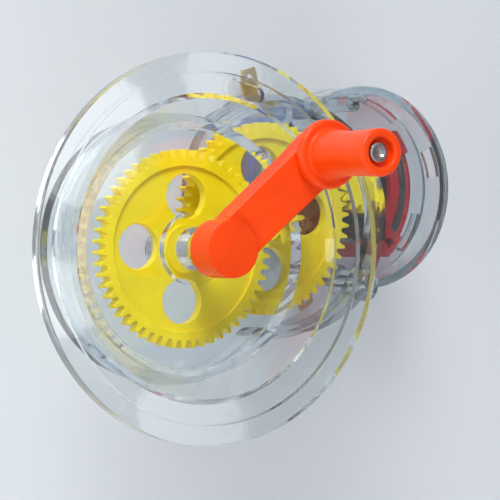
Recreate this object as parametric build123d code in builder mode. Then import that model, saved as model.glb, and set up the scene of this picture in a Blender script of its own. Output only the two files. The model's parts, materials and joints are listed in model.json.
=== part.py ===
from build123d import *
import os
from math import acos, cos, pi, radians, sin, tan

os.makedirs("parts", exist_ok=True)

# Hand-cranked demonstration motor and generator in a clear gear case.
# Millimetres. +Z runs along the three parallel axes, from the rear cap, which the motor stands on,
# to the crank.
# The rotor axis is the Z axis. The idler and crank axes lie on -X, one gear centre distance apart.

# ---------------------------------------------------------------- driving dimensions: gear train
module = 1.0
pressure = radians(20)
wheel_teeth = 54
pinion_teeth = 12
pinion_shift = 0.4  # profile shift that keeps the 12-tooth pinions from being undercut
backlash = 0.12  # taken off each tooth at the pitch circle
centre_distance = module * (wheel_teeth + pinion_teeth) / 2
crank_x = -2 * centre_distance
idler_x = -centre_distance
rotor_x = 0.0

wheel_flank_steps = 1
pinion_flank_steps = 2
wheel_face = 4.0
wheel_hub_r = 6.8
wheel_rim_r = 23.0  # inside of the rim
web_recess = 1.0
web_hole_r = 6.3
web_hole_pitch_r = 14.6
drive_hole_turn = -18.0
idler_hole_turn = -10.0

# ---------------------------------------------------------------- driving dimensions: heights along the axes
cap_thick = 3.0
spigot_top = 6.0
shell_top = 44.0
plate_top = 46.5
idler_wheel_z = 48.0
rotor_pinion_z = 47.6
rotor_pinion_top = 53.0
case_top = 54.0
cover_top = 56.0
drive_wheel_z = 57.0
chamber_top = 62.0
floor_top = 64.5
flange_under = 72.0
flange_top = 74.0
lip_top = 76.0
boss_top = 77.0
hub_bottom = 77.5
hub_top = 87.0
arm_root_bottom = 79.0
arm_root_top = 86.0
arm_end_bottom = 83.0
arm_end_top = 89.5
grip_bottom = 89.8
grip_collar_top = 92.8
grip_top = 118.0

# ---------------------------------------------------------------- driving dimensions: mouldings
shell_r = 29.0
shell_wall = 2.0
crank_lobe_r = 37.0  # outside of the gear case round the crank axis
idler_lobe_r = 33.2  # outside of the gear case round the idler axis
case_wall = 2.2
case_blend = 6.0
joint_lip = 1.6  # how far the two case halves stand out where they meet
joint_lip_thick = 1.5
dish_floor_r = 33.0
dish_mouth_r = 41.3
lip_inner_r = 48.5
flange_r = 54.0
boss_base_r = 10.0
boss_base_height = 2.5
boss_step_r = 6.2
boss_tip_height = 3.5
boss_tip_r = 4.8

# ---------------------------------------------------------------- driving dimensions: fits and shafts
running_gap = 0.05  # radial clearance of a turning shaft
seat_gap = 0.02  # radial clearance of pieces that are pressed or glued together
joint_gap = 0.05  # air film between the end faces of clear mouldings that stand on each other
end_play = 0.4  # free height between a turning piece and what stands under or over it
blind_floor = 1.0  # material left under a blind hole
crank_shaft_r = 2.5
idler_pin_r = 1.5
rotor_shaft_r = 1.5

# ---------------------------------------------------------------- driving dimensions: crank and grip
arm_turn = 27.5
arm_length = 38.0
arm_hub_r = 8.0
arm_root_half = 6.6
arm_bend = 9.0
arm_end_r = 6.9
grip_collar_r = 9.6
grip_root_r = 6.9
grip_end_r = 6.5
grip_pin_r = 2.0
grip_recess_r = 4.2
grip_recess_depth = 2.6

# ---------------------------------------------------------------- driving dimensions: rotor and field
core_bottom = 16.0
core_top = 36.0
core_r = 17.5
core_hub_r = 5.2
neck_width = 4.6
shoe_thick = 2.6
shoe_half_angle = 50.0
insulator_thick = 0.8
coil_build = 3.1
coil_inner_x = 5.4
coil_overhang = 2.6
field_r = 26.7  # outside of the magnet holders
bore_r = 18.4  # bore that the rotor turns in
field_bottom = 9.0
field_top = 40.0
magnet_back_r = 25.2
magnet_half_angle = 30.0
holder_half_angle = 44.0
field_turn = -20.0  # the north magnet lies towards +X, a little on the -Y side
brush_turn = 90.0  # the brushes stand at +Y and -Y, and the segments are turned to suit the field
commutator_r = 4.2
drum_r = 3.3
segment_bottom = 7.4
segment_top = 11.6
brush_thick = 0.35
brush_gap = 0.3
terminal_thick = 0.8
terminal_width = 5.0
terminal_reach = 37.0
rail_pitch_r = 24.8
rail_turn = 68.0
rail_r = 2.6

# ---------------------------------------------------------------- driving dimensions: screws
screw_r = 1.2
screw_clearance = 0.2  # radial, where a shank passes freely
screw_head_r = 2.5
screw_head_height = 1.8
screw_cross = 3.0
screw_cross_width = 0.7
screw_cross_depth = 0.9
post_screw_length = 11.5
cap_screw_length = 11.0
post_pad_height = 1.5
post_turn = -108.0
post_pitch_r = 28.2
post_r = 4.6


def polar(radius, turn, centre_x=0.0):
    """Point at a radius and an angle in degrees about an axis on the X line."""
    return (centre_x + radius * cos(radians(turn)), radius * sin(radians(turn)))


def level(height, centre_x=0.0):
    """Horizontal plane at a height, centred on an axis."""
    return Plane((centre_x, 0, height))


def upright(centre_x):
    """Vertical half plane through an axis, for revolved profiles: x is the radius, y the height."""
    return Plane(origin=(centre_x, 0, 0), x_dir=(1, 0, 0), z_dir=(0, -1, 0))


def axis_at(centre_x):
    return Axis((centre_x, 0, 0), (0, 0, 1))


post_x, post_y = polar(post_pitch_r, post_turn)


# ================================================================ gears


def involute(angle):
    return tan(angle) - angle


def gear_profile(centre_x, height, teeth, shift, first_tooth, steps):
    """Outline of a spur gear, its first tooth centred on an angle in degrees.

    Each involute flank is drawn in straight steps. A large wheel's involute is almost straight, so one will do.
    """
    pitch_r = module * teeth / 2
    base_r = pitch_r * cos(pressure)
    tip_r = pitch_r + module * (1 + shift)
    root_r = pitch_r - module * (1.25 - shift)
    flank_r = max(base_r, root_r)
    thickness = module * (pi / 2 + 2 * shift * tan(pressure)) - backlash

    def half_tooth(radius):
        roll = acos(min(1.0, base_r / radius))
        return thickness / (2 * pitch_r) + involute(pressure) - involute(roll)

    def point(radius, angle):
        return (radius * cos(angle), radius * sin(angle))

    radii = [flank_r + (tip_r - flank_r) * step / steps for step in range(steps + 1)]
    outline = []
    for tooth in range(teeth):
        middle = radians(first_tooth) + 2 * pi * tooth / teeth
        gap_start = middle + half_tooth(flank_r)
        gap_end = middle + 2 * pi / teeth - half_tooth(flank_r)
        outline += [point(r, middle - half_tooth(r)) for r in radii]
        outline += [point(r, middle + half_tooth(r)) for r in reversed(radii)]
        if root_r < flank_r:
            outline += [point(root_r, gap_start), point(root_r, gap_end)]
    with BuildSketch(level(height, centre_x)) as profile:
        with BuildLine():
            Polyline(*outline, close=True)
        make_face()
    return profile.sketch


def wheel_body(centre_x, bottom, hole_turn):
    """Adds a wheel, with a web recessed in front and four round holes, to the part that is open."""
    extrude(gear_profile(centre_x, bottom, wheel_teeth, -pinion_shift, 0, wheel_flank_steps), amount=wheel_face)
    with BuildSketch(level(bottom + wheel_face, centre_x)) as recess:
        Circle(wheel_rim_r)
        Circle(wheel_hub_r, mode=Mode.SUBTRACT)
    extrude(recess.sketch, amount=-web_recess, mode=Mode.SUBTRACT)
    with BuildSketch(level(bottom, centre_x)) as holes:
        with PolarLocations(web_hole_pitch_r, 4, start_angle=hole_turn):
            Circle(web_hole_r)
    extrude(holes.sketch, amount=wheel_face, mode=Mode.SUBTRACT)


def bore(centre_x, radius, bottom, top):
    """Cuts a round bore out of the part that is open."""
    with BuildSketch(level(bottom, centre_x)) as hole:
        Circle(radius)
    extrude(hole.sketch, amount=top - bottom, mode=Mode.SUBTRACT)


def pinion(centre_x, bottom, top):
    """Adds a pinion, with a tooth gap towards the wheel that drives it, to the part that is open."""
    first_tooth = 180 + 180 / pinion_teeth
    profile = gear_profile(centre_x, bottom, pinion_teeth, pinion_shift, first_tooth, pinion_flank_steps)
    extrude(profile, amount=top - bottom)


with BuildPart() as drive_gear:
    wheel_body(crank_x, drive_wheel_z, drive_hole_turn)
    bore(crank_x, crank_shaft_r + seat_gap, drive_wheel_z, drive_wheel_z + wheel_face)

idler_top = chamber_top - 1.5 * end_play
with BuildPart() as idler_gear:
    wheel_body(idler_x, idler_wheel_z, idler_hole_turn)
    pinion(idler_x, idler_wheel_z + wheel_face, idler_top)
    bore(idler_x, idler_pin_r + running_gap, idler_wheel_z, idler_top)

with BuildPart() as rotor_pinion:
    pinion(rotor_x, rotor_pinion_z, rotor_pinion_top)
    bore(rotor_x, rotor_shaft_r + seat_gap, rotor_pinion_z, rotor_pinion_top)


# ================================================================ gear case


def chamber_outline(height, inset=0.0):
    """Outline of the gear chamber: a lobe round the crank axis and one round the idler axis."""
    with BuildSketch(level(height)) as outline:
        with Locations((crank_x, 0)):
            Circle(crank_lobe_r - inset)
        with Locations((idler_x, 0)):
            Circle(idler_lobe_r - inset)
        fillet(outline.vertices(), case_blend)
    return outline.sketch


def case_outline(height, inset=0.0):
    """Outline of the whole gear case: the gear chamber and the motor circle."""
    with BuildSketch(level(height)) as outline:
        add(chamber_outline(height, inset))
        Circle(shell_r - inset)
    return outline.sketch


def discs(points, radius, height, amount, mode=Mode.ADD):
    """Adds or cuts round columns of one size in the part that is open; a negative amount runs down."""
    with BuildSketch(level(height)) as rounds:
        with Locations(*points):
            Circle(radius)
    extrude(rounds.sketch, amount=amount, mode=mode)


def ring_sector(inner_r, outer_r, start, end):
    """Closed outline of part of a ring, on the rotor axis, between two angles in degrees."""
    middle = (start + end) / 2
    ThreePointArc(polar(inner_r, start), polar(inner_r, middle), polar(inner_r, end))
    Line(polar(inner_r, end), polar(outer_r, end))
    ThreePointArc(polar(outer_r, end), polar(outer_r, middle), polar(outer_r, start))
    Line(polar(outer_r, start), polar(inner_r, start))


tab_turns = (45.0, 135.0, 225.0, 315.0)
tab_half_angle = 13.0
tab_thick = 1.4


def shell_tabs(height, amount):
    """Adds the four curved tabs that stand inside the motor shell and centre it."""
    outer_r = shell_r - shell_wall - seat_gap
    for turn in tab_turns:
        with BuildSketch(level(height)) as tab:
            with BuildLine():
                ring_sector(outer_r - tab_thick, outer_r, turn - tab_half_angle, turn + tab_half_angle)
            make_face()
        extrude(tab.sketch, amount=amount)


crank_centre = (crank_x, 0)
idler_centre = (idler_x, 0)
rotor_centre = (rotor_x, 0)
post_centre = (post_x, post_y)
case_depth = case_top - joint_gap - shell_top
crank_boss_r = 4.6
crank_boss_top = drive_wheel_z - end_play
idler_boss_r = 4.0
bush_seat_r = 6.0
bush_seat_bottom = 41.5
bush_r = 3.2
tab_depth = 2.5
snap_middle_z = 51.0
snap_window_height = 2.6
snap_window_width = 5.4
snap_barb_height = 1.6
tongue_width = 4.6
tongue_thick = 0.9
tongue_height = 4.2
tongue_gap = 0.6
tongue_root = 2.1  # how deep the tongue's root reaches into the cover or the chamber wall
# axis, wall radius and angle of each snap
snaps = [(rotor_x, shell_r, 106.0), (crank_x, crank_lobe_r, 160.0), (crank_x, crank_lobe_r, 215.0)]

with BuildPart() as gear_case:
    extrude(case_outline(shell_top), amount=case_depth)
    extrude(chamber_outline(case_top - joint_lip_thick, -joint_lip), amount=joint_lip_thick - joint_gap)
    discs([post_centre], post_r, shell_top, case_depth)
    extrude(case_outline(plate_top, case_wall), amount=case_top - plate_top, mode=Mode.SUBTRACT)
    # post and bosses that stand on the plate
    discs([post_centre], post_r, plate_top, shell_top + case_depth - plate_top)
    discs([crank_centre], crank_boss_r, plate_top, crank_boss_top - plate_top)
    discs([idler_centre], idler_boss_r, plate_top, idler_wheel_z - end_play - plate_top)
    # seat of the rotor's front bush, behind the plate
    discs([rotor_centre], bush_seat_r, bush_seat_bottom, plate_top - bush_seat_bottom)
    bore(rotor_x, bush_r + seat_gap, bush_seat_bottom, plate_top)
    bore(crank_x, crank_shaft_r + running_gap, plate_top - blind_floor, crank_boss_top)
    bore(idler_x, idler_pin_r + seat_gap, shell_top + blind_floor, idler_wheel_z)
    shell_tabs(shell_top, -tab_depth)
    # screw holes
    discs([post_centre], screw_r + seat_gap, shell_top + blind_floor, case_depth, Mode.SUBTRACT)
    # windows for the barbs of the snap tongues
    for centre_x, wall_r, turn in snaps:
        with Locations(Location((*polar(wall_r, turn, centre_x), snap_middle_z), (0, 0, turn))):
            Box(3 * case_wall, snap_window_width, snap_window_height, mode=Mode.SUBTRACT)

slot_turn = 59.0
slot_pitch_r = 45.0
slot_length = 12.5
slot_width = 4.8
arc_slot_inner_r = 22.4
arc_slot_outer_r = 26.2
arc_slot_start = -8.0
arc_slot_end = 12.0
dish_wall = 1.5
idler_pin_socket = 1.9

with BuildPart() as front_dish:
    # stepped bearing boss, floor, sloped wall, flange and rounded lip, all round the crank axis
    with BuildSketch(upright(crank_x)) as section:
        with BuildLine():
            Polyline(
                (0, chamber_top),
                (dish_floor_r + dish_wall, chamber_top),
                (dish_mouth_r + dish_wall, flange_under),
                (flange_r, flange_under),
                (flange_r, lip_top),
                (lip_inner_r, lip_top),
                (lip_inner_r, flange_top),
                (dish_mouth_r, flange_top),
                (dish_floor_r, floor_top),
                (boss_base_r, floor_top),
                (boss_base_r, floor_top + boss_base_height),
                (boss_step_r, floor_top + boss_base_height),
                (boss_step_r, boss_top - boss_tip_height),
                (boss_tip_r, boss_top - boss_tip_height),
                (boss_tip_r, boss_top),
                (0, boss_top),
                close=True,
            )
        make_face()
    revolve(axis=axis_at(crank_x))
    # cover over the motor, and the gear chamber that rises beside it
    extrude(case_outline(case_top), amount=cover_top - case_top)
    extrude(chamber_outline(case_top), amount=floor_top - case_top)
    extrude(chamber_outline(case_top, -joint_lip), amount=joint_lip_thick)
    extrude(chamber_outline(case_top, case_wall), amount=chamber_top - case_top, mode=Mode.SUBTRACT)
    discs([post_centre], post_r, case_top, cover_top + post_pad_height - case_top)
    # bores for the crank shaft, the idler pin and the screws
    bore(crank_x, crank_shaft_r + running_gap, chamber_top, boss_top)
    bore(idler_x, idler_pin_r + seat_gap, chamber_top, chamber_top + idler_pin_socket)
    discs([post_centre], screw_r + screw_clearance, case_top, chamber_top - case_top, Mode.SUBTRACT)
    # capsule slot through the flange
    slot_x, slot_y = polar(slot_pitch_r, slot_turn, crank_x)
    with BuildSketch(level(flange_under)) as capsule:
        with Locations(Location((slot_x, slot_y), slot_turn - 90)):
            SlotOverall(slot_length, slot_width)
    extrude(capsule.sketch, amount=flange_top - flange_under, mode=Mode.SUBTRACT)
    # curved slot in the cover, near the motor's rim
    with BuildSketch(level(case_top)) as arc_slot:
        with BuildLine():
            ring_sector(arc_slot_inner_r, arc_slot_outer_r, arc_slot_start, arc_slot_end)
        make_face()
    extrude(arc_slot.sketch, amount=cover_top - case_top, mode=Mode.SUBTRACT)
    # snap tongues, each with a barb in the case's window
    root_middle_z = (case_top + cover_top) / 2
    for centre_x, wall_r, turn in snaps:
        tongue_r = wall_r - case_wall - tongue_gap
        root_r = tongue_r + (tongue_root - tongue_thick) / 2
        with Locations(Location((*polar(tongue_r, turn, centre_x), case_top - tongue_height / 2), (0, 0, turn))):
            Box(tongue_thick, tongue_width, tongue_height)
        with Locations(Location((*polar(tongue_r + tongue_thick, turn, centre_x), snap_middle_z), (0, 0, turn))):
            Box(2 * tongue_thick, tongue_width, snap_barb_height)
        with Locations(Location((*polar(root_r, turn, centre_x), root_middle_z), (0, 0, turn))):
            Box(tongue_root, tongue_width, cover_top - case_top)


# ================================================================ motor shell and rear cap

rail_points = [polar(rail_pitch_r, rail_turn), polar(rail_pitch_r, rail_turn + 180)]
rail_hole_depth = 11.0
terminal_slot_width = terminal_width + 0.4
terminal_slot_height = terminal_thick + 0.1
terminal_inner_end = 12.0
terminal_seat_length = 7.0
cap_boss_r = 5.2
bush_floor = 2.0  # height of the rear bush's lower end
screw_pocket_depth = screw_head_height + 0.2
screw_pocket_r = screw_head_r + 0.3

shell_bottom = cap_thick + joint_gap
shell_length = shell_top - joint_gap - shell_bottom

with BuildPart() as motor_shell:
    with BuildSketch(level(shell_bottom)) as tube:
        Circle(shell_r)
        Circle(shell_r - shell_wall, mode=Mode.SUBTRACT)
    extrude(tube.sketch, amount=shell_length)
    discs(rail_points, rail_r, shell_bottom, shell_length)
    discs(rail_points, screw_r + seat_gap, cap_thick, rail_hole_depth, Mode.SUBTRACT)
    # slots that the terminals come out of
    for side in (1, -1):
        with Locations((0, side * shell_r, spigot_top + terminal_thick / 2)):
            Box(terminal_slot_width, 4 * shell_wall, terminal_slot_height, mode=Mode.SUBTRACT)

with BuildPart() as rear_cap:
    discs([rotor_centre], shell_r, 0, cap_thick)
    shell_tabs(cap_thick, spigot_top - cap_thick)
    discs([rotor_centre], cap_boss_r, cap_thick, spigot_top - cap_thick)
    # seats that carry the inner ends of the terminals
    seat_y = terminal_inner_end + terminal_seat_length / 2
    with BuildSketch(level(cap_thick)) as seats:
        with Locations((0, seat_y), (0, -seat_y)):
            Rectangle(terminal_width, terminal_seat_length)
    extrude(seats.sketch, amount=spigot_top - cap_thick)
    bore(rotor_x, bush_r + seat_gap, bush_floor, spigot_top)
    discs(rail_points, screw_r + screw_clearance, 0, cap_thick, Mode.SUBTRACT)
    discs(rail_points, screw_pocket_r, 0, screw_pocket_depth, Mode.SUBTRACT)


# ================================================================ screws, pins and bushes


def screw(point, head_seat, length, up):
    """Adds a pan-head screw to the part that is open; up is +1 where the shank points along +Z."""
    x, y = point
    with BuildSketch(Plane((x, y, head_seat))) as shank:
        Circle(screw_r)
    extrude(shank.sketch, amount=up * length)
    with BuildSketch(Plane((x, y, head_seat))) as head:
        Circle(screw_head_r)
    extrude(head.sketch, amount=-up * screw_head_height)
    with BuildSketch(Plane((x, y, head_seat - up * screw_head_height))) as cross:
        Rectangle(screw_cross, screw_cross_width)
        Rectangle(screw_cross_width, screw_cross)
    extrude(cross.sketch, amount=up * screw_cross_depth, mode=Mode.SUBTRACT)


with BuildPart() as post_screw:
    screw(post_centre, cover_top + post_pad_height, post_screw_length, -1)

with BuildPart() as cap_screws:
    for point in rail_points:
        screw(point, screw_pocket_depth, cap_screw_length, 1)

idler_pin_bottom = shell_top + blind_floor + 0.1
idler_pin_top = chamber_top + idler_pin_socket - 0.1
with BuildPart() as idler_pin:
    discs([idler_centre], idler_pin_r, idler_pin_bottom, idler_pin_top - idler_pin_bottom)


def bush(bottom, top):
    """Plain sleeve on the rotor axis."""
    with BuildPart() as sleeve:
        with BuildSketch(level(bottom)):
            Circle(bush_r)
            Circle(rotor_shaft_r + running_gap, mode=Mode.SUBTRACT)
        extrude(amount=top - bottom)
    return sleeve


bush_proud = 0.4
rotor_front_bush = bush(bush_seat_bottom, plate_top)
rotor_rear_bush = bush(bush_floor, spigot_top + bush_proud)


# ================================================================ rotor


pole_count = 3
pole_turns = [90 + 360 / pole_count * index for index in range(pole_count)]
neck_end_gap = 0.5  # how far a pole's neck stops short of the rotor's outside
shoe_taper = 1.2  # how much thinner a pole shoe is at its tips


def pole_profile(height, with_shoes):
    """Three-armed outline of the rotor stack or of its end insulators."""
    with BuildSketch(level(height)) as profile:
        Circle(core_hub_r)
        with PolarLocations(0, pole_count, start_angle=pole_turns[0]):
            with Locations((core_r / 2, 0)):
                Rectangle(core_r - 2 * neck_end_gap, neck_width)
        if with_shoes:
            with BuildSketch(mode=Mode.PRIVATE) as shoe:
                with BuildLine():
                    inner_r = core_r - shoe_thick
                    tip_r = inner_r + shoe_taper
                    start, end = -shoe_half_angle, shoe_half_angle
                    ThreePointArc(polar(core_r, start), polar(core_r, 0), polar(core_r, end))
                    Line(polar(core_r, end), polar(tip_r, end))
                    ThreePointArc(polar(tip_r, end), polar(inner_r, 0), polar(tip_r, start))
                    Line(polar(tip_r, start), polar(core_r, start))
                make_face()
            with PolarLocations(0, pole_count, start_angle=pole_turns[0]):
                add(shoe.sketch)
        Circle(rotor_shaft_r + seat_gap, mode=Mode.SUBTRACT)
    return profile.sketch


with BuildPart() as rotor_core:
    extrude(pole_profile(core_bottom, True), amount=core_top - core_bottom)

with BuildPart() as rotor_insulators:
    extrude(pole_profile(core_bottom - insulator_thick, False), amount=insulator_thick)
    extrude(pole_profile(core_top, False), amount=insulator_thick)


coil_corner_r = 2.4
neck_gap = 0.1


def coil(turn):
    """One winding, wrapped round a pole's neck and its end insulators."""
    half_width = neck_width / 2 + coil_build
    bottom = core_bottom - insulator_thick - coil_overhang
    height = core_top + insulator_thick + coil_overhang - bottom
    middle_z = bottom + height / 2
    outer_x = core_r - shoe_thick
    facing = Plane(
        origin=(coil_inner_x * cos(radians(turn)), coil_inner_x * sin(radians(turn)), middle_z),
        x_dir=(-sin(radians(turn)), cos(radians(turn)), 0),
        z_dir=(cos(radians(turn)), sin(radians(turn)), 0),
    )
    with BuildPart() as winding:
        with BuildSketch(facing):
            RectangleRounded(2 * half_width, height, coil_corner_r)
            Rectangle(
                neck_width + neck_gap,
                core_top - core_bottom + 2 * insulator_thick + neck_gap,
                mode=Mode.SUBTRACT,
            )
        extrude(amount=outer_x - coil_inner_x)
        # the winding's outer end follows the inside of the pole shoe
        with BuildSketch(level(bottom)) as reach:
            Circle(outer_x - neck_gap)
        extrude(reach.sketch, amount=height, mode=Mode.INTERSECT)
    return winding


coils = {f"coil_{index + 1}": coil(turn) for index, turn in enumerate(pole_turns)}

shaft_proud = 0.5
rotor_shaft_bottom = bush_floor + 0.3
with BuildPart() as rotor_shaft:
    discs([rotor_centre], rotor_shaft_r, rotor_shaft_bottom, rotor_pinion_top + shaft_proud - rotor_shaft_bottom)

drum_flange = 0.6  # thickness, and how far it stands out past the segments
with BuildPart() as commutator_drum:
    discs([rotor_centre], drum_r, segment_bottom, segment_top - segment_bottom)
    discs([rotor_centre], commutator_r + drum_flange, segment_top, drum_flange)
    bore(rotor_x, rotor_shaft_r + seat_gap, segment_bottom, segment_top + drum_flange)

segment_half_angle = 55.0
with BuildPart() as commutator_segments:
    for turn in pole_turns:
        middle = turn + brush_turn - field_turn + 180 / pole_count
        with BuildSketch(level(segment_bottom)) as segment:
            with BuildLine():
                ring_sector(
                    drum_r + seat_gap, commutator_r, middle - segment_half_angle, middle + segment_half_angle
                )
            make_face()
        extrude(segment.sketch, amount=segment_top - segment_bottom)

washer_r = 2.8
washer_thick = 0.35
with BuildPart() as rotor_washers:
    for seat in (plate_top, spigot_top + bush_proud):
        with BuildSketch(level(seat + 0.2)) as washer:
            Circle(washer_r)
            Circle(rotor_shaft_r + seat_gap, mode=Mode.SUBTRACT)
        extrude(washer.sketch, amount=washer_thick)


# ================================================================ field magnets and their holders

magnet_end_gap = 2.0  # height of the holder's shelf under and over the magnet
magnet_bottom = field_bottom + magnet_end_gap
magnet_height = field_top - field_bottom - 2 * magnet_end_gap
magnet_back_gap = 0.05
window_end_gap = 7.0
window_half_angle = 20.0
front_lip = 3.0  # width of the shelf that holds the magnet's front end
opening_half_angle = magnet_half_angle - 2.0
triangle_inset = 7.0  # angle from the holder's end to the triangle's inner corner
triangle_spread = (-3.6, 3.3)
triangle_inner_wall = 1.8
triangle_outer_wall = 1.6


def magnet(middle):
    """Curved ferrite block."""
    with BuildPart() as block:
        with BuildSketch(level(magnet_bottom)):
            with BuildLine():
                ring_sector(
                    bore_r + neck_gap, magnet_back_r, middle - magnet_half_angle, middle + magnet_half_angle
                )
            make_face()
        extrude(amount=magnet_height)
    return block


def holder(middle):
    """Ring sector that carries one magnet, open over most of the magnet's front end and on its back."""
    pocket_half = magnet_half_angle + 0.3
    with BuildPart() as body:
        with BuildSketch(level(field_bottom)):
            with BuildLine():
                ring_sector(bore_r, field_r, middle - holder_half_angle, middle + holder_half_angle)
            make_face()
        extrude(amount=field_top - field_bottom)
        with BuildSketch(level(magnet_bottom - seat_gap)) as pocket:
            with BuildLine():
                ring_sector(
                    bore_r - 1.0, magnet_back_r + magnet_back_gap, middle - pocket_half, middle + pocket_half
                )
            make_face()
        extrude(pocket.sketch, amount=magnet_height + 2 * seat_gap, mode=Mode.SUBTRACT)
        # opening in front of the magnet, behind the front lip
        with BuildSketch(level(magnet_bottom + magnet_height)) as opening:
            with BuildLine():
                ring_sector(
                    bore_r + front_lip, field_r + 1.0, middle - opening_half_angle, middle + opening_half_angle
                )
            make_face()
        extrude(opening.sketch, amount=magnet_end_gap, mode=Mode.SUBTRACT)
        # window on the magnet's back
        with BuildSketch(level(field_bottom + window_end_gap)) as window:
            with BuildLine():
                ring_sector(
                    magnet_back_r - 1.0, field_r + 1.0, middle - window_half_angle, middle + window_half_angle
                )
            make_face()
        extrude(window.sketch, amount=field_top - field_bottom - 2 * window_end_gap, mode=Mode.SUBTRACT)
        # triangular opening through the thick end
        corner_turn = middle - holder_half_angle + triangle_inset
        with BuildSketch(level(field_bottom)) as triangle:
            with BuildLine():
                Polyline(
                    polar(bore_r + triangle_inner_wall, corner_turn),
                    polar(field_r - triangle_outer_wall, corner_turn - triangle_spread[1]),
                    polar(field_r - triangle_outer_wall, corner_turn - triangle_spread[0]),
                    close=True,
                )
            make_face()
        extrude(triangle.sketch, amount=field_top - field_bottom, mode=Mode.SUBTRACT)
    return body


magnet_north = magnet(field_turn)
magnet_south = magnet(field_turn + 180)
magnet_holder_red = holder(field_turn)
magnet_holder_blue = holder(field_turn + 180)


# ================================================================ brushes and terminals


terminal_eye_r = 0.9
terminal_eye_inset = 2.6
foot_length = 12.5  # cross bar of the terminal, which carries the brush's foot
foot_width = 3.0
brush_foot = (9.4, terminal_inner_end + foot_width / 2 - 0.1)
brush_bend_r = 1.6


def terminal(side):
    """Flat blade that runs from a brush to the outside of the shell, with a round eye at its end."""
    with BuildPart() as blade:
        with BuildSketch(level(spigot_top)):
            with Locations((0, side * (terminal_reach + terminal_inner_end) / 2)):
                Rectangle(terminal_width, terminal_reach - terminal_inner_end)
            with Locations((side * (foot_length - terminal_width) / 2, side * (terminal_inner_end + foot_width / 2))):
                Rectangle(foot_length, foot_width)
            with Locations((0, side * (terminal_reach - terminal_eye_inset))):
                Circle(terminal_eye_r, mode=Mode.SUBTRACT)
        extrude(amount=terminal_thick)
    return blade


def brush(side):
    """Leaf spring that stands on its terminal and bears on the commutator."""
    graze = commutator_r + brush_gap + brush_thick / 2
    path = [brush_foot, (7.4, 8.2), (3.0, graze + 0.35), (0, graze), (-4.6, graze + 0.7)]
    leaf_bottom = spigot_top + terminal_thick
    with BuildPart() as leaf:
        with BuildSketch(level(leaf_bottom)):
            with BuildLine():
                FilletPolyline(*[(side * x, side * y) for x, y in path], radius=brush_bend_r)
            trace(line_width=brush_thick)
        extrude(amount=segment_top - brush_gap - leaf_bottom)
    return leaf


terminal_left = terminal(1)
terminal_right = terminal(-1)
brush_left = brush(1)
brush_right = brush(-1)


# ================================================================ crank and grip

grip_centre = polar(arm_length, arm_turn, crank_x)
shaft_bottom = plate_top - blind_floor + 0.2
shaft_top = hub_top - 2.5

with BuildPart() as crank_shaft:
    discs([crank_centre], crank_shaft_r, shaft_bottom, shaft_top - shaft_bottom)

arm_direction = (cos(radians(arm_turn)), sin(radians(arm_turn)), 0)
arm_side = Plane(
    origin=(crank_x, 0, 0),
    x_dir=arm_direction,
    z_dir=(sin(radians(arm_turn)), -cos(radians(arm_turn)), 0),
)

with BuildPart() as crank_arm:
    # tapered arm, which rises from the hub to the grip
    with BuildSketch(Plane((crank_x, 0, hub_bottom), x_dir=arm_direction)):
        with BuildLine():
            Polyline(
                (0, -arm_root_half),
                (arm_length, -arm_end_r),
                (arm_length, arm_end_r),
                (0, arm_root_half),
                close=True,
            )
        make_face()
        with Locations((arm_length, 0)):
            Circle(arm_end_r)
    extrude(amount=arm_end_top - hub_bottom)
    with BuildSketch(arm_side) as side_view:
        with BuildLine():
            Polyline(
                (0, arm_root_bottom),
                (arm_bend, arm_root_bottom),
                (arm_length - arm_end_r, arm_end_bottom),
                (arm_length + arm_end_r, arm_end_bottom),
                (arm_length + arm_end_r, arm_end_top),
                (arm_length - arm_end_r, arm_end_top),
                (arm_bend, arm_root_top),
                (0, arm_root_top),
                close=True,
            )
        make_face()
    extrude(side_view.sketch, amount=arm_hub_r, both=True, mode=Mode.INTERSECT)
    discs([crank_centre], arm_hub_r, hub_bottom, hub_top - hub_bottom)
    bore(crank_x, crank_shaft_r + seat_gap, hub_bottom, shaft_top + 0.1)
    discs([grip_centre], grip_pin_r + seat_gap, arm_end_bottom, arm_end_top - arm_end_bottom, Mode.SUBTRACT)

recess_bottom = grip_top - grip_recess_depth
with BuildPart() as handle_grip:
    with BuildSketch(Plane(origin=(*grip_centre, 0), x_dir=(1, 0, 0), z_dir=(0, -1, 0))):
        with BuildLine():
            inner_r = grip_pin_r + running_gap
            Polyline(
                (grip_root_r, grip_collar_top),
                (grip_collar_r, grip_collar_top),
                (grip_collar_r, grip_bottom),
                (inner_r, grip_bottom),
                (inner_r, recess_bottom),
                (grip_recess_r, recess_bottom),
                (grip_recess_r, grip_top),
                (grip_end_r, grip_top),
                close=True,
            )
        make_face()
    revolve(axis=Axis((*grip_centre, 0), (0, 0, 1)))

pin_head_r = 3.0
pin_head_height = 1.0
pin_bottom = arm_end_bottom + 0.2
pin_head_bottom = recess_bottom + 0.3
with BuildPart() as handle_pin:
    discs([grip_centre], grip_pin_r, pin_bottom, pin_head_bottom - pin_bottom)
    discs([grip_centre], pin_head_r, pin_head_bottom, pin_head_height)


# ================================================================ output

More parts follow.
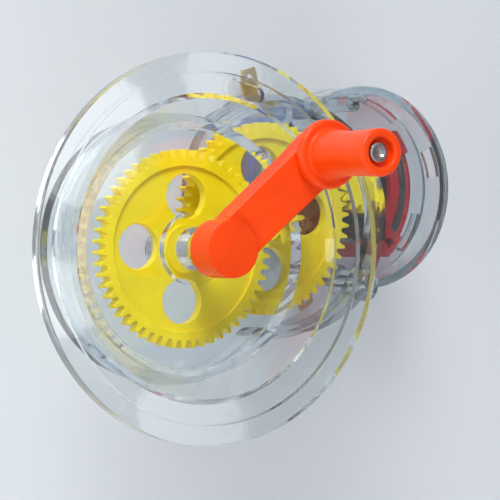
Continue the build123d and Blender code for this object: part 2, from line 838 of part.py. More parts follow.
pieces = {
    "front_dish": front_dish,
    "gear_case": gear_case,
    "motor_shell": motor_shell,
    "rear_cap": rear_cap,
    "post_screw": post_screw,
    "cap_screws": cap_screws,
    "idler_pin": idler_pin,
    "rotor_front_bush": rotor_front_bush,
    "rotor_rear_bush": rotor_rear_bush,
    "magnet_holder_red": magnet_holder_red,
    "magnet_holder_blue": magnet_holder_blue,
    "magnet_north": magnet_north,
    "magnet_south": magnet_south,
    "brush_left": brush_left,
    "brush_right": brush_right,
    "terminal_left": terminal_left,
    "terminal_right": terminal_right,
    "crank_arm": crank_arm,
    "crank_shaft": crank_shaft,
    "drive_gear": drive_gear,
    "handle_pin": handle_pin,
    "handle_grip": handle_grip,
    "idler_gear": idler_gear,
    "rotor_shaft": rotor_shaft,
    "rotor_pinion": rotor_pinion,
    "rotor_core": rotor_core,
    "rotor_insulators": rotor_insulators,
    **coils,
    "commutator_drum": commutator_drum,
    "commutator_segments": commutator_segments,
    "rotor_washers": rotor_washers,
}

for name, piece in pieces.items():
    piece.part.label = name
    export_step(piece.part, f"parts/{name}.step")
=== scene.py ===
import json
from math import cos, pi, radians, sin, sqrt, tan

import bpy
from mathutils import Matrix, Vector, noise


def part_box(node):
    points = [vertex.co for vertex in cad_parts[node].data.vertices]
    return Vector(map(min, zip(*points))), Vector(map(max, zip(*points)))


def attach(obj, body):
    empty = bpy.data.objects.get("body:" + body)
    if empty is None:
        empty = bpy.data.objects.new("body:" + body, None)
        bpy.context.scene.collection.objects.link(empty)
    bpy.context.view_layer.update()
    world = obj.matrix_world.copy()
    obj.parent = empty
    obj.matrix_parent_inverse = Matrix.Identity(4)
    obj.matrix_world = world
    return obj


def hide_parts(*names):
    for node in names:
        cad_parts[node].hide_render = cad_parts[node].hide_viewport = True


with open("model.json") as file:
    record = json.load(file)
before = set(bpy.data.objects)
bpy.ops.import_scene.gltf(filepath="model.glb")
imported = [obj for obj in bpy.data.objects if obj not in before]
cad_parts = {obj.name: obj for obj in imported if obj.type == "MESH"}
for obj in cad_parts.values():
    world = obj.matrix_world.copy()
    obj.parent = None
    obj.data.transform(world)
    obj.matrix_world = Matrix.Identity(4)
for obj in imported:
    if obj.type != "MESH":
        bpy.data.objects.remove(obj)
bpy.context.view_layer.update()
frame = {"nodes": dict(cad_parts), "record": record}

# Looks of a hand-cranked demonstration motor: a clear moulded gear case, yellow gears, an orange
# crank and a small motor in a clear cylinder. Metres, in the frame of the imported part.

nodes = frame["nodes"]
mm = 0.001


# ================================================================ places taken from the frame


def centre_of(node):
    low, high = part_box(node)
    return (low + high) / 2


grip_axis = centre_of("handle_grip")


# ================================================================ node materials


def set_stops(ramp, stops):
    """Sets a colour ramp; stops are pairs of a place from 0 to 1 and a colour."""
    elements = ramp.color_ramp.elements
    while len(elements) < len(stops):
        elements.new(0.5)
    for element, (where, colour) in zip(elements, stops):
        element.position = where
        element.color = (*colour, 1.0)


class Shader:
    """A node material with short calls for adding and joining nodes."""

    def __init__(self, name):
        self.material = bpy.data.materials.new(name)
        self.material.use_nodes = True
        self.tree = self.material.node_tree
        self.tree.nodes.clear()
        self.output = self.add("ShaderNodeOutputMaterial")
        self.principled = self.add("ShaderNodeBsdfPrincipled")
        self.join(self.principled, "BSDF", self.output, "Surface")
        self.place = self.add("ShaderNodeTexCoord")

    def add(self, kind, **settings):
        node = self.tree.nodes.new(kind)
        for name, value in settings.items():
            setattr(node, name, value)
        return node

    def join(self, source, output, target, socket):
        self.tree.links.new(source.outputs[output], target.inputs[socket])

    def set(self, **values):
        for name, value in values.items():
            self.principled.inputs[name.replace("_", " ")].default_value = value

    def noise(self, scale, detail=3.0, stretch=None):
        """Noise over the object's own place; scale is in features per metre."""
        texture = self.add("ShaderNodeTexNoise")
        texture.inputs["Scale"].default_value = scale
        texture.inputs["Detail"].default_value = detail
        if stretch is None:
            self.join(self.place, "Object", texture, "Vector")
        else:
            mapping = self.add("ShaderNodeMapping")
            mapping.inputs["Scale"].default_value = stretch
            self.join(self.place, "Object", mapping, "Vector")
            self.join(mapping, "Vector", texture, "Vector")
        return texture

    def tint(self, source, stops):
        """Base colour from a colour ramp over a texture."""
        ramp = self.add("ShaderNodeValToRGB")
        set_stops(ramp, stops)
        self.join(source, "Fac", ramp, "Fac")
        self.join(ramp, "Color", self.principled, "Base Color")

    def spread_roughness(self, source, low, high, start=0.3, end=0.7):
        """Roughness between two limits, as a texture goes from its start value to its end value."""
        spread = self.add("ShaderNodeMapRange")
        spread.inputs["From Min"].default_value = start
        spread.inputs["From Max"].default_value = end
        spread.inputs["To Min"].default_value = low
        spread.inputs["To Max"].default_value = high
        self.join(source, "Fac", spread, "Value")
        self.join(spread, "Result", self.principled, "Roughness")

    def relief(self, source, distance, edge_radius, strength=1.0):
        """Bump of a real height, on normals that are rounded at the piece's edges."""
        bump = self.add("ShaderNodeBump")
        bump.inputs["Distance"].default_value = distance
        bump.inputs["Strength"].default_value = strength
        self.join(source, "Fac", bump, "Height")
        if edge_radius > 0:
            edge = self.add("ShaderNodeBevel", samples=8)
            edge.inputs["Radius"].default_value = edge_radius
            self.join(edge, "Normal", bump, "Normal")
        self.join(bump, "Normal", self.principled, "Normal")


def shade(colour, factor):
    return tuple(min(1.0, channel * factor) for channel in colour)


def moulded(name, colour, roughness, edge_radius=0.35 * mm, depth=0.14, subsurface=0.0):
    """Opaque moulded plastic: cloudy pigment, satin flow marks and soft edges."""
    shader = Shader(name)
    cloud = shader.noise(70, detail=4)
    shader.tint(cloud, [(0.3, shade(colour, 1 - depth)), (0.55, colour), (0.75, shade(colour, 1.05))])
    flow = shader.noise(420, detail=5, stretch=(1.0, 1.0, 0.4))
    shader.spread_roughness(flow, roughness * 0.8, roughness * 1.25)
    grain = shader.noise(2600, detail=2)
    shader.relief(grain, 0.02 * mm, edge_radius, strength=0.35)
    shader.set(IOR=1.4, Subsurface_Weight=subsurface, Subsurface_Scale=0.6 * mm)
    return shader.material


def clear_moulding(name):
    """Clear polystyrene: faint flow waves, handling marks, and lamps shine through to what is inside."""
    shader = Shader(name)
    cloud = shader.noise(35, detail=3)
    shader.tint(cloud, [(0.25, (0.88, 0.925, 0.95)), (0.75, (0.91, 0.945, 0.965))])
    marks = shader.noise(900, detail=6, stretch=(1.0, 0.15, 1.0))
    shader.spread_roughness(marks, 0.01, 0.06, start=0.45, end=0.8)
    waves = shader.noise(110, detail=2)
    shader.relief(waves, 0.05 * mm, 0.0, strength=0.5)
    shader.set(IOR=1.5, Transmission_Weight=1.0, Coat_Weight=0.5, Coat_Roughness=0.04)
    edge = shader.add("ShaderNodeBevel", samples=4)
    edge.inputs["Radius"].default_value = 0.45 * mm
    shader.join(edge, "Normal", shader.principled, "Coat Normal")
    see_through = shader.add("ShaderNodeBsdfTransparent")
    see_through.inputs["Color"].default_value = (0.985, 0.985, 0.985, 1.0)
    path = shader.add("ShaderNodeLightPath")
    mix = shader.add("ShaderNodeMixShader")
    shader.join(path, "Is Shadow Ray", mix, "Fac")
    shader.tree.links.new(shader.principled.outputs["BSDF"], mix.inputs[1])
    shader.tree.links.new(see_through.outputs["BSDF"], mix.inputs[2])
    shader.join(mix, "Shader", shader.output, "Surface")
    return shader.material


def metal(name, colour, roughness):
    """Drawn or turned metal with fine lines and a little tarnish."""
    shader = Shader(name)
    tarnish = shader.noise(160, detail=5)
    shader.tint(tarnish, [(0.3, shade(colour, 0.72)), (0.6, colour), (0.8, shade(colour, 1.08))])
    lines = shader.noise(1500, detail=4, stretch=(1.0, 1.0, 12.0))
    shader.spread_roughness(lines, roughness * 0.7, roughness * 1.4)
    shader.relief(lines, 0.01 * mm, 0.12 * mm, strength=0.4)
    shader.set(Metallic=1.0)
    return shader.material


def stone_like(name, colour, roughness, grain_scale, depth, height):
    """Pressed or sintered material with visible grains, such as ferrite or fibre board."""
    shader = Shader(name)
    grains = shader.noise(grain_scale, detail=8)
    shader.tint(grains, [(0.35, shade(colour, 1 - depth)), (0.5, colour), (0.7, shade(colour, 1 + depth))])
    shader.spread_roughness(grains, roughness * 0.85, roughness * 1.1)
    shader.relief(grains, height, 0.2 * mm)
    return shader.material


def laminated(name):
    """Edges of stacked steel sheets with thin dark gaps."""
    sheet = 0.5 * mm
    radians_per_scale = 20  # built into the wave texture
    shader = Shader(name)
    sheets = shader.add("ShaderNodeTexWave", wave_type="BANDS", bands_direction="Z", wave_profile="SIN")
    sheets.inputs["Scale"].default_value = 2 * pi / (radians_per_scale * sheet)
    sheets.inputs["Distortion"].default_value = 0.0
    shader.join(shader.place, "Object", sheets, "Vector")
    shader.tint(sheets, [(0.0, (0.06, 0.055, 0.05)), (0.2, (0.36, 0.36, 0.37)), (1.0, (0.52, 0.52, 0.53))])
    rub = shader.noise(900, detail=5)
    shader.spread_roughness(rub, 0.28, 0.5)
    shader.relief(sheets, 0.06 * mm, 0.0, strength=0.6)
    shader.set(Metallic=0.9)
    return shader.material


def enamelled_wire(name):
    """Copper wire under reddish-brown enamel."""
    shader = Shader(name)
    age = shader.noise(600, detail=4)
    shader.tint(age, [(0.3, (0.20, 0.045, 0.025)), (0.6, (0.42, 0.12, 0.06)), (0.8, (0.55, 0.20, 0.10))])
    shader.spread_roughness(age, 0.22, 0.42)
    fine = shader.noise(3000, detail=2)
    shader.relief(fine, 0.005 * mm, 0.0, strength=0.3)
    shader.set(Metallic=0.55, Coat_Weight=0.6, Coat_Roughness=0.15)
    return shader.material


materials = {
    "clear_plastic": clear_moulding("clear_plastic"),
    "yellow_plastic": moulded("yellow_plastic", (0.87, 0.69, 0.006), 0.34, 0.22 * mm, 0.1, 0.06),
    "orange_plastic": moulded("orange_plastic", (0.97, 0.064, 0.001), 0.34, 0.8 * mm, 0.12, 0.05),
    "red_plastic": moulded("red_plastic", (0.44, 0.002, 0.006), 0.3),
    "blue_plastic": moulded("blue_plastic", (0.004, 0.045, 0.25), 0.3),
    "black_plastic": moulded("black_plastic", (0.02, 0.02, 0.022), 0.45, depth=0.3),
    "fibre": stone_like("fibre", (0.36, 0.19, 0.08), 0.75, 900, 0.3, 0.05 * mm),
    "ferrite": stone_like("ferrite", (0.06, 0.035, 0.028), 0.55, 1400, 0.45, 0.03 * mm),
    "core_steel": laminated("core_steel"),
    "steel": metal("steel", (0.60, 0.60, 0.61), 0.22),
    "brass": metal("brass", (0.86, 0.61, 0.26), 0.34),
    "copper": metal("copper", (0.86, 0.42, 0.26), 0.24),
    "copper_wire": enamelled_wire("copper_wire"),
}

slot_of = {piece["node"]: piece["material_slot"] for piece in frame["record"]["subparts"]}
for name, node in nodes.items():
    node.data.materials.clear()
    node.data.materials.append(materials[slot_of[name]])


# ================================================================ mesh pieces


def piece_from(name, solid, slot, body, replaced):
    """Makes a mesh object of a solid, gives it its slot's material and puts it on its body."""
    mesh = bpy.data.meshes.new(name)
    mesh.from_pydata([tuple(vertex) for vertex in solid.vertices], [], solid.faces)
    mesh.validate()
    mesh.materials.append(materials[slot])
    for polygon in mesh.polygons:
        polygon.use_smooth = True
    piece = bpy.data.objects.new(name, mesh)
    bpy.context.scene.collection.objects.link(piece)
    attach(piece, body)
    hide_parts(*replaced)


def ring_of(centre, radius, height, sides):
    """Points evenly round a level circle."""
    x, y = centre[0], centre[1]
    turns = [2 * pi * step / sides for step in range(sides)]
    return [Vector((x + radius * cos(turn), y + radius * sin(turn), height)) for turn in turns]


class Solid:
    """Vertices and faces of one piece, gathered from several closed forms."""

    def __init__(self):
        self.vertices = []
        self.faces = []

    def add(self, vertices, faces):
        base = len(self.vertices)
        self.vertices += vertices
        self.faces += [tuple(base + index for index in face) for face in faces]

    def tube(self, path, radius):
        """Round wire along a path of points, closed at both ends."""
        sides = 8
        rings = []
        side = None
        for index, point in enumerate(path):
            ahead = path[min(index + 1, len(path) - 1)] - path[max(index - 1, 0)]
            ahead.normalize()
            if side is None:
                side = ahead.orthogonal().normalized()
            side = (side - ahead * side.dot(ahead)).normalized()
            across = ahead.cross(side)
            ring = []
            for step in range(sides):
                turn = 2 * pi * step / sides
                ring.append(point + (side * cos(turn) + across * sin(turn)) * radius)
            rings.append(ring)
        vertices = [vertex for ring in rings for vertex in ring]
        faces = []
        for index in range(len(rings) - 1):
            for step in range(sides):
                following = (step + 1) % sides
                low, high = index * sides, (index + 1) * sides
                faces.append((low + step, low + following, high + following, high + step))
        last = (len(rings) - 1) * sides
        faces.append(tuple(range(sides))[::-1])
        faces.append(tuple(last + step for step in range(sides)))
        self.add(vertices, faces)

    def lathe(self, centre, profile, sides):
        """Solid turned about a vertical axis, from the axis at the bottom to the axis on top."""
        vertices = []
        faces = []
        starts = []
        for radius, height in profile:
            starts.append(len(vertices))
            if radius <= 0:
                vertices.append(Vector((centre[0], centre[1], height)))
                continue
            vertices += ring_of(centre, radius, height, sides)
        for index in range(len(profile) - 1):
            low, high = starts[index], starts[index + 1]
            for step in range(sides):
                following = (step + 1) % sides
                if profile[index][0] <= 0:
                    faces.append((low, high + following, high + step))
                elif profile[index + 1][0] <= 0:
                    faces.append((low + step, low + following, high))
                else:
                    faces.append((low + step, low + following, high + following, high + step))
        self.add(vertices, faces)

    def ring_lathe(self, centre, profile, sides):
        """Ring turned about a vertical axis from a closed profile that stays off the axis."""
        count = len(profile)
        vertices = []
        for radius, height in profile:
            vertices += ring_of(centre, radius, height, sides)
        faces = []
        for index in range(count):
            low, high = index * sides, ((index + 1) % count) * sides
            for step in range(sides):
                following = (step + 1) % sides
                faces.append((low + step, low + following, high + following, high + step))
        self.add(vertices, faces)


def rounded(corners, steps):
    """Profile of straight runs with rounded corners; each corner is (radius, height, rounding)."""
    points = []
    count = len(corners)
    for index, (x, y, rounding) in enumerate(corners):
        here = Vector((x, y))
        if rounding <= 0:
            points.append((x, y))
            continue
        before = (Vector(corners[index - 1][:2]) - here).normalized()
        after = (Vector(corners[(index + 1) % count][:2]) - here).normalized()
        half = before.angle(after) / 2
        reach = rounding / tan(half)
        start = here + before * reach
        end = here + after * reach
        for step in range(steps + 1):
            share = step / steps
            bend = (1 - share) ** 2 * start + 2 * share * (1 - share) * here + share**2 * end
            points.append((bend.x, bend.y))
    return points


# ================================================================ grip and its pin


def make_grip():
    """Waisted grip with rounded edges, a collar at its foot and a recess for the pin's head."""
    low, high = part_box("handle_grip")
    collar_r = (high.x - low.x) / 2
    bottom, top = low.z, high.z
    foot_r, waist_r, end_r = 6.9 * mm, 6.1 * mm, 6.6 * mm
    waist_z = bottom + 12.5 * mm
    bore_r = 2.05 * mm
    recess_r = 4.2 * mm
    recess_z = top - 2.6 * mm
    collar_z = bottom + 3.0 * mm
    profile = rounded(
        [
            (bore_r, bottom, 0),
            (collar_r, bottom, 0.9 * mm),
            (collar_r, collar_z, 1.2 * mm),
            (foot_r, collar_z, 0.8 * mm),
            (waist_r, waist_z, 24 * mm),
            (end_r, top, 1.1 * mm),
            (recess_r, top, 0.5 * mm),
            (recess_r, recess_z, 0.2 * mm),
            (bore_r, recess_z, 0),
        ],
        steps=7,
    )
    solid = Solid()
    solid.ring_lathe(grip_axis, profile, 72)
    piece_from("grip", solid, "orange_plastic", "grip", ["handle_grip"])


def make_grip_pin():
    """Shouldered pin with a domed, dimpled head in the grip's recess."""
    low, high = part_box("handle_pin")
    head_r = (high.x - low.x) / 2
    head_z = high.z - 1.0 * mm
    shank_r = 2.0 * mm
    tip_chamfer, head_chamfer = 0.3 * mm, 0.15 * mm
    dome_z = head_z + 0.35 * mm
    dome_width, dome_height, dome_steps = 0.9 * mm, 0.65 * mm, 6
    profile = [(0, low.z), (shank_r - tip_chamfer, low.z), (shank_r, low.z + tip_chamfer), (shank_r, head_z)]
    profile += [(head_r - head_chamfer, head_z), (head_r, head_z + head_chamfer), (head_r, dome_z)]
    for step in range(1, dome_steps + 1):
        turn = radians(90) * step / dome_steps
        profile.append((head_r - dome_width * (1 - cos(turn)), dome_z + dome_height * sin(turn)))
    # the dimple, from its rim to its floor
    profile += [(1.75 * mm, high.z - 0.02 * mm), (1.5 * mm, high.z - 0.15 * mm)]
    profile += [(1.35 * mm, head_z + 0.25 * mm), (0, head_z + 0.2 * mm)]
    solid = Solid()
    solid.lathe(grip_axis, profile, 48)
    piece_from("grip_pin", solid, "steel", "crank", ["handle_pin"])


# ================================================================ screws


screw_head_r = 2.5 * mm
screw_head_height = 1.8 * mm


def add_shank(solid, x, y, seat, length, up):
    """Screw shank with a coarse thread under a plain neck, and a blunt tip."""
    thread_r, root_r, pitch = 1.2 * mm, 0.86 * mm, 0.9 * mm
    sides, rows_per_turn = 20, 8
    ridge_slope = 3.2  # the ridge is 2 / ridge_slope of a pitch wide at its foot
    neck = 1.2 * mm
    tip = 1.6 * mm
    rows = int((length - tip) / pitch * rows_per_turn)
    vertices = []
    for row in range(rows + 1):
        along = (length - tip) * row / rows
        for step in range(sides):
            turn = 2 * pi * step / sides
            phase = (along / pitch - step / sides) % 1.0
            ridge = max(0.0, 1 - abs(phase - 0.5) * ridge_slope)
            radius = root_r + (thread_r - root_r) * (ridge if along > neck else 1.0)
            vertices.append(Vector((x + radius * cos(turn), y + up * radius * sin(turn), seat + up * along)))
    for share in (0.45, 0.9):
        radius = root_r * (1 - share * 0.9)
        along = length - tip + tip * share
        for step in range(sides):
            turn = 2 * pi * step / sides
            vertices.append(Vector((x + radius * cos(turn), y + up * radius * sin(turn), seat + up * along)))
    faces = []
    for row in range(rows + 2):
        low, high = row * sides, (row + 1) * sides
        for step in range(sides):
            following = (step + 1) % sides
            faces.append((low + step, low + following, high + following, high + step))
    last = (rows + 2) * sides
    faces.append(tuple(range(sides))[::-1])
    faces.append(tuple(last + step for step in range(sides)))
    solid.add(vertices, faces)


def add_head(solid, x, y, seat, up):
    """Domed screw head with a cross recess, as a height field over rings of points."""
    rim_share = 0.42  # of the head's height, where the dome starts
    cross_half, cross_reach, cross_depth = 0.36 * mm, 1.55 * mm, 1.0 * mm
    wall, end_wall = 0.12 * mm, 0.3 * mm  # over which the recess goes down at its sides and ends
    rings, sides = 30, 72
    vertices = [Vector((x, y, seat - up * (screw_head_height - cross_depth)))]
    for ring in range(1, rings + 1):
        radius = screw_head_r * ring / rings
        bulge = sqrt(max(0.0, 1 - (radius / screw_head_r) ** 2.6))
        dome = screw_head_height * (rim_share + (1 - rim_share) * bulge)
        for step in range(sides):
            turn = 2 * pi * (step + 0.5) / sides
            across, along = radius * cos(turn), radius * sin(turn)
            wing = min(abs(across), abs(along))
            reach = max(abs(across), abs(along))
            inside = min(1.0, max(0.0, (cross_half - wing) / wall + 0.5))
            inside *= min(1.0, max(0.0, (cross_reach - reach) / end_wall))
            vertices.append(Vector((x + across, y + up * along, seat - up * (dome - cross_depth * inside))))
    base = len(vertices)
    for step in range(sides):
        turn = 2 * pi * (step + 0.5) / sides
        vertices.append(Vector((x + screw_head_r * cos(turn), y + up * screw_head_r * sin(turn), seat)))
    faces = []
    for step in range(sides):
        faces.append((0, 1 + (step + 1) % sides, 1 + step))
    for ring in range(rings):
        low = 1 + ring * sides
        high = low + sides
        for step in range(sides):
            following = (step + 1) % sides
            faces.append((low + step, low + following, high + following, high + step))
    faces.append(tuple(base + step for step in range(sides)))
    solid.add(vertices, faces)


def make_screws(name, node, points, seat, length, up):
    """Screws of one node; up is +1 where their shanks point along +Z, and seat is under their heads."""
    solid = Solid()
    for x, y in points:
        add_shank(solid, x, y, seat, length, up)
        add_head(solid, x, y, seat, up)
    piece_from(name, solid, "steel", "housing", [node])


def make_all_screws():
    low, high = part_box("post_screw")
    middle = (low + high) / 2
    length = high.z - low.z - screw_head_height
    make_screws("cover_screw", "post_screw", [(middle.x, middle.y)], high.z - screw_head_height, length, -1)
    low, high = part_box("cap_screws")
    x, y = high.x - screw_head_r, high.y - screw_head_r
    length = high.z - low.z - screw_head_height
    make_screws("rear_cap_screws", "cap_screws", [(x, y), (-x, -y)], low.z + screw_head_height, length, 1)


# ================================================================ windings


def add_leads(solid, coil_turn, coil_bottom):
    """A winding's two ends, led round the commutator's flange to the tops of two neighbouring segments."""
    lead_r = 0.14 * mm
    segment_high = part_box("commutator_segments")[1]
    segment_r = segment_high.x
    flange_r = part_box("commutator_drum")[1].x
    joint_z = segment_high.z - lead_r
    stations = [(6.6 * mm, coil_bottom + 0.4 * mm), (6.1 * mm, coil_bottom - 0.15 * mm)]
    stations += [(flange_r + 0.7 * mm, segment_high.z + 0.5 * mm)]
    stations += [(flange_r + 0.25 * mm, segment_high.z + 0.2 * mm)]
    stations += [(flange_r + 0.15 * mm, joint_z), (segment_r + 0.12 * mm, joint_z)]
    for offset in (radians(16), radians(-22)):
        turn = coil_turn + offset
        solid.tube([Vector((radius * cos(turn), radius * sin(turn), z)) for radius, z in stations], lead_r)


def round_rectangle(share, half_wide, half_tall, corner):
    """Point on a rounded rectangle, at a share of its way round from the lower end of its right side."""
    wide, tall = half_wide - corner, half_tall - corner
    centres = [Vector((wide, tall)), Vector((-wide, tall)), Vector((-wide, -tall)), Vector((wide, -tall))]
    bend_run = corner * pi / 2
    left = share * 4 * (wide + tall + bend_run)
    for side in range(4):
        start, end = centres[side - 1], centres[side]
        straight = (end - start).length
        facing = radians(90 * side)
        if left <= straight:
            return start.lerp(end, left / straight) + corner * Vector((cos(facing), sin(facing)))
        left -= straight
        if left <= bend_run:
            facing += left / corner
            return end + corner * Vector((cos(facing), sin(facing)))
        left -= bend_run
    return centres[3] + Vector((corner, 0))


def make_winding(index):
    """Close helix of enamelled wire round one pole's neck, over a solid middle, with its two leads."""
    wire_r = 0.24 * mm
    pitch = 2.04 * wire_r
    slack = 0.03 * mm  # how far a wire strays from its row
    inner_x, outer_x = 5.4 * mm, 13.6 * mm
    half_width = 5.4 * mm
    shoe_r = 14.8 * mm  # inside of the pole's shoe
    corner = 2.2 * mm
    steps = 36  # per turn
    low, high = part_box(f"coil_{index + 1}")
    middle_z, half_height = (low.z + high.z) / 2, (high.z - low.z) / 2
    turn = radians(90 + 120 * index)
    outward = Vector((cos(turn), sin(turn), 0))
    sideways = Vector((-sin(turn), cos(turn), 0))

    def wire_point(share, x, shrink):
        wide = min(half_width, sqrt(shoe_r**2 - (x + wire_r) ** 2)) - shrink
        across, rise = round_rectangle(share, wide, half_height - shrink, corner)
        return outward * x + sideways * across + Vector((0, 0, middle_z + rise))

    solid = Solid()
    turns = int((outer_x - inner_x) / pitch)
    path = []
    for step in range(turns * steps + 1):
        x = inner_x + wire_r + pitch * step / steps
        stray = slack * noise.noise(Vector((step * 0.35, index * 7.0, 0.0)))
        path.append(wire_point((step % steps) / steps, x, wire_r + slack + abs(stray)))
    solid.tube(path, wire_r)
    # the layers under the outer one, as a solid block
    vertices = []
    for x in (inner_x, inner_x + turns * pitch + wire_r):
        vertices += [wire_point(step / steps, x, 1.6 * wire_r) for step in range(steps)]
    faces = []
    for step in range(steps):
        following = (step + 1) % steps
        faces.append((step, following, steps + following, steps + step))
    faces.append(tuple(range(steps))[::-1])
    faces.append(tuple(steps + step for step in range(steps)))
    solid.add(vertices, faces)
    add_leads(solid, turn, low.z)
    piece_from(f"winding_{index + 1}", solid, "copper_wire", "rotor", [f"coil_{index + 1}"])


make_grip()
make_grip_pin()
make_all_screws()
for pole in range(3):
    make_winding(pole)


# ================================================================ floor, light and camera


pale = (0.67, 0.70, 0.73)  # colour of the studio at the horizon


def make_floor():
    """Pale floor that takes the object's shadow and fades into the horizon's colour further out."""
    fade_start, fade_end = 0.2, 0.7  # distances from the object
    half = 3.0
    below = -0.1 * mm  # a film of air, so that light leaves the clear cap before it meets the floor
    shader = Shader("floor")
    faint = shader.noise(6, detail=2)
    shader.tint(faint, [(0.3, shade(pale, 0.985)), (0.7, shade(pale, 1.015))])
    shader.set(Roughness=0.8, Specular_IOR_Level=0.15)
    away = shader.add("ShaderNodeVectorMath", operation="LENGTH")
    shader.join(shader.place, "Object", away, "Vector")
    fade = shader.add("ShaderNodeMapRange", interpolation_type="SMOOTHSTEP")
    fade.inputs["From Min"].default_value = fade_start
    fade.inputs["From Max"].default_value = fade_end
    shader.join(away, "Value", fade, "Value")
    # the far floor shows the horizon's colour to the camera, in gloss and through clear parts
    path = shader.add("ShaderNodeLightPath")
    seen = shader.add("ShaderNodeMath", operation="ADD", use_clamp=True)
    shader.join(path, "Is Camera Ray", seen, 0)
    shader.join(path, "Is Glossy Ray", seen, 1)
    seen_or_through = shader.add("ShaderNodeMath", operation="ADD", use_clamp=True)
    shader.join(seen, "Value", seen_or_through, 0)
    shader.join(path, "Is Transmission Ray", seen_or_through, 1)
    share = shader.add("ShaderNodeMath", operation="MULTIPLY")
    shader.join(seen_or_through, "Value", share, 0)
    shader.join(fade, "Result", share, 1)
    horizon = shader.add("ShaderNodeEmission")
    horizon.inputs["Color"].default_value = (*pale, 1.0)
    mix = shader.add("ShaderNodeMixShader")
    shader.join(share, "Value", mix, "Fac")
    shader.tree.links.new(shader.principled.outputs["BSDF"], mix.inputs[1])
    shader.tree.links.new(horizon.outputs["Emission"], mix.inputs[2])
    shader.join(mix, "Shader", shader.output, "Surface")
    corners = [(-half, -half, below), (half, -half, below), (half, half, below), (-half, half, below)]
    mesh = bpy.data.meshes.new("floor")
    mesh.from_pydata(corners, [], [(0, 1, 2, 3)])
    mesh.materials.append(shader.material)
    floor = bpy.data.objects.new("floor", mesh)
    bpy.context.scene.collection.objects.link(floor)


def make_world(towards):
    """Studio that is pale at the horizon, dim half-way up and bright overhead, with one dark flag."""
    flag_edge, flag_core = radians(40), radians(14)  # angles from the flag's middle
    flag_strength = 0.25
    world = bpy.data.worlds.new("studio")
    world.use_nodes = True
    bpy.context.scene.world = world
    tree = world.node_tree
    tree.nodes.clear()
    output = tree.nodes.new("ShaderNodeOutputWorld")
    background = tree.nodes.new("ShaderNodeBackground")
    place = tree.nodes.new("ShaderNodeTexCoord")
    split = tree.nodes.new("ShaderNodeSeparateXYZ")
    ramp = tree.nodes.new("ShaderNodeValToRGB")
    stops = [(0.0, pale), (0.12, (0.60, 0.63, 0.66)), (0.3, (0.26, 0.29, 0.33)), (0.5, (0.36, 0.39, 0.42))]
    stops += [(0.75, (0.64, 0.66, 0.68)), (1.0, (0.80, 0.81, 0.82))]
    set_stops(ramp, stops)
    tree.links.new(place.outputs["Generated"], split.inputs["Vector"])
    tree.links.new(split.outputs["Z"], ramp.inputs["Fac"])
    tree.links.new(ramp.outputs["Color"], background.inputs["Color"])
    # the flag: the flat tops mirror this part of the studio towards the camera
    mirrored = tree.nodes.new("ShaderNodeVectorMath")
    mirrored.operation = "DOT_PRODUCT"
    mirrored.inputs[1].default_value = (-towards.x, -towards.y, towards.z)
    flag = tree.nodes.new("ShaderNodeMapRange")
    flag.inputs["From Min"].default_value = cos(flag_edge)
    flag.inputs["From Max"].default_value = cos(flag_core)
    flag.inputs["To Min"].default_value = 1.0
    flag.inputs["To Max"].default_value = flag_strength
    tree.links.new(place.outputs["Generated"], mirrored.inputs[0])
    tree.links.new(mirrored.outputs["Value"], flag.inputs["Value"])
    tree.links.new(flag.outputs["Result"], background.inputs["Strength"])
    tree.links.new(background.outputs["Background"], output.inputs["Surface"])


def make_lamp(name, place, target, size, power, mirrored=True):
    """Soft oval lamp; one that isn't mirrored leaves no image of itself in shiny and clear parts."""
    light = bpy.data.lights.new(name, "AREA")
    light.shape = "ELLIPSE"
    light.size, light.size_y = size
    light.energy = power
    lamp = bpy.data.objects.new(name, light)
    lamp.location = place
    lamp.rotation_euler = (Vector(place) - Vector(target)).to_track_quat("Z", "Y").to_euler()
    lamp.visible_camera = False
    lamp.visible_glossy = mirrored
    lamp.visible_transmission = mirrored
    bpy.context.scene.collection.objects.link(lamp)


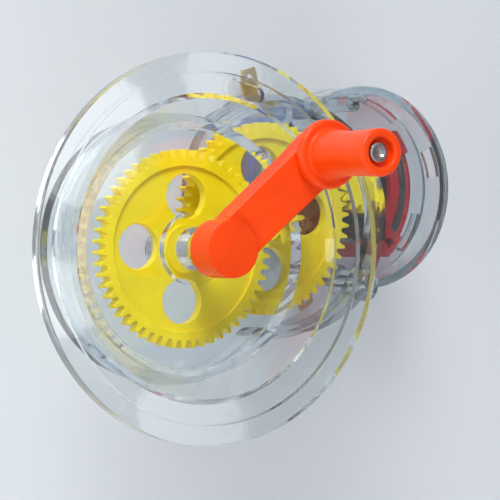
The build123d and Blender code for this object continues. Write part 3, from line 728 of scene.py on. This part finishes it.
# the photograph's view, in front of the crank and down the axes from the left
view_tilt = radians(32)  # between the line of sight and the crank's axis
row_turn = radians(15.5)  # image right is turned this far from +X, towards -Y
lens = 283.0
camera_distance = 1.1
aim = Vector((-45.2 * mm, -6.1 * mm, 60.8 * mm))
above = Vector((0, 0, 1))
level_right = Vector((cos(row_turn), -sin(row_turn), 0))
image_up = Vector((sin(row_turn), cos(row_turn), 0))
image_towards = above * cos(view_tilt) - level_right * sin(view_tilt)
image_right = image_up.cross(image_towards)
camera_place = aim + image_towards * camera_distance


def make_camera():
    data = bpy.data.cameras.new("camera")
    data.lens = lens
    camera = bpy.data.objects.new("camera", data)
    turn = Matrix((image_right, image_up, image_towards)).transposed().to_4x4()
    camera.matrix_world = Matrix.Translation(camera_place) @ turn
    bpy.context.scene.collection.objects.link(camera)
    bpy.context.scene.camera = camera


make_floor()
make_camera()
make_world(image_towards)
middle = Vector((-40 * mm, 0, 50 * mm))  # of the object, which the large lamps face
key_place = middle + image_up * 0.45 - image_right * 0.3 + above * 0.5
make_lamp("key", key_place, middle, (0.26, 0.26), 2.7)
# its image would fill the clear flange's edge with white from some sides
make_lamp("rim", middle - image_up * 0.5 + above * 0.25, middle, (0.5, 0.2), 1.3, mirrored=False)
make_lamp("side", middle - image_right * 0.6 + above * 0.35, middle, (0.2, 0.6), 0.8)

# small far lamps that the flat flange mirrors towards the camera, as patches of sheen round its band
flange_axis = centre_of("crank_shaft")
flange_z = 74 * mm  # top of the flange
sheen_r = 48 * mm  # middle of its band
sheen_distance = 1.5
sheens = [(142, 0.09, 0.05), (85, 0.05, 0.010), (196, 0.05, 0.014), (262, 0.07, 0.02)]  # angle, size, power
for index, (angle, size, power) in enumerate(sheens):
    turn = radians(angle)
    spot = Vector((flange_axis.x, flange_axis.y, flange_z))
    spot += (level_right * cos(turn) + image_up * sin(turn)) * sheen_r
    ahead = (spot - camera_place).normalized()
    mirrored = Vector((ahead.x, ahead.y, -ahead.z))
    make_lamp(f"sheen_{index + 1}", spot + mirrored * sheen_distance, spot, (size, size), power)

scene = bpy.context.scene
scene.view_settings.view_transform = "Standard"
# light runs a long way inside the clear flange and the cylinder's edges
scene.cycles.max_bounces = 40
scene.cycles.transmission_bounces = 40
scene.cycles.glossy_bounces = 24
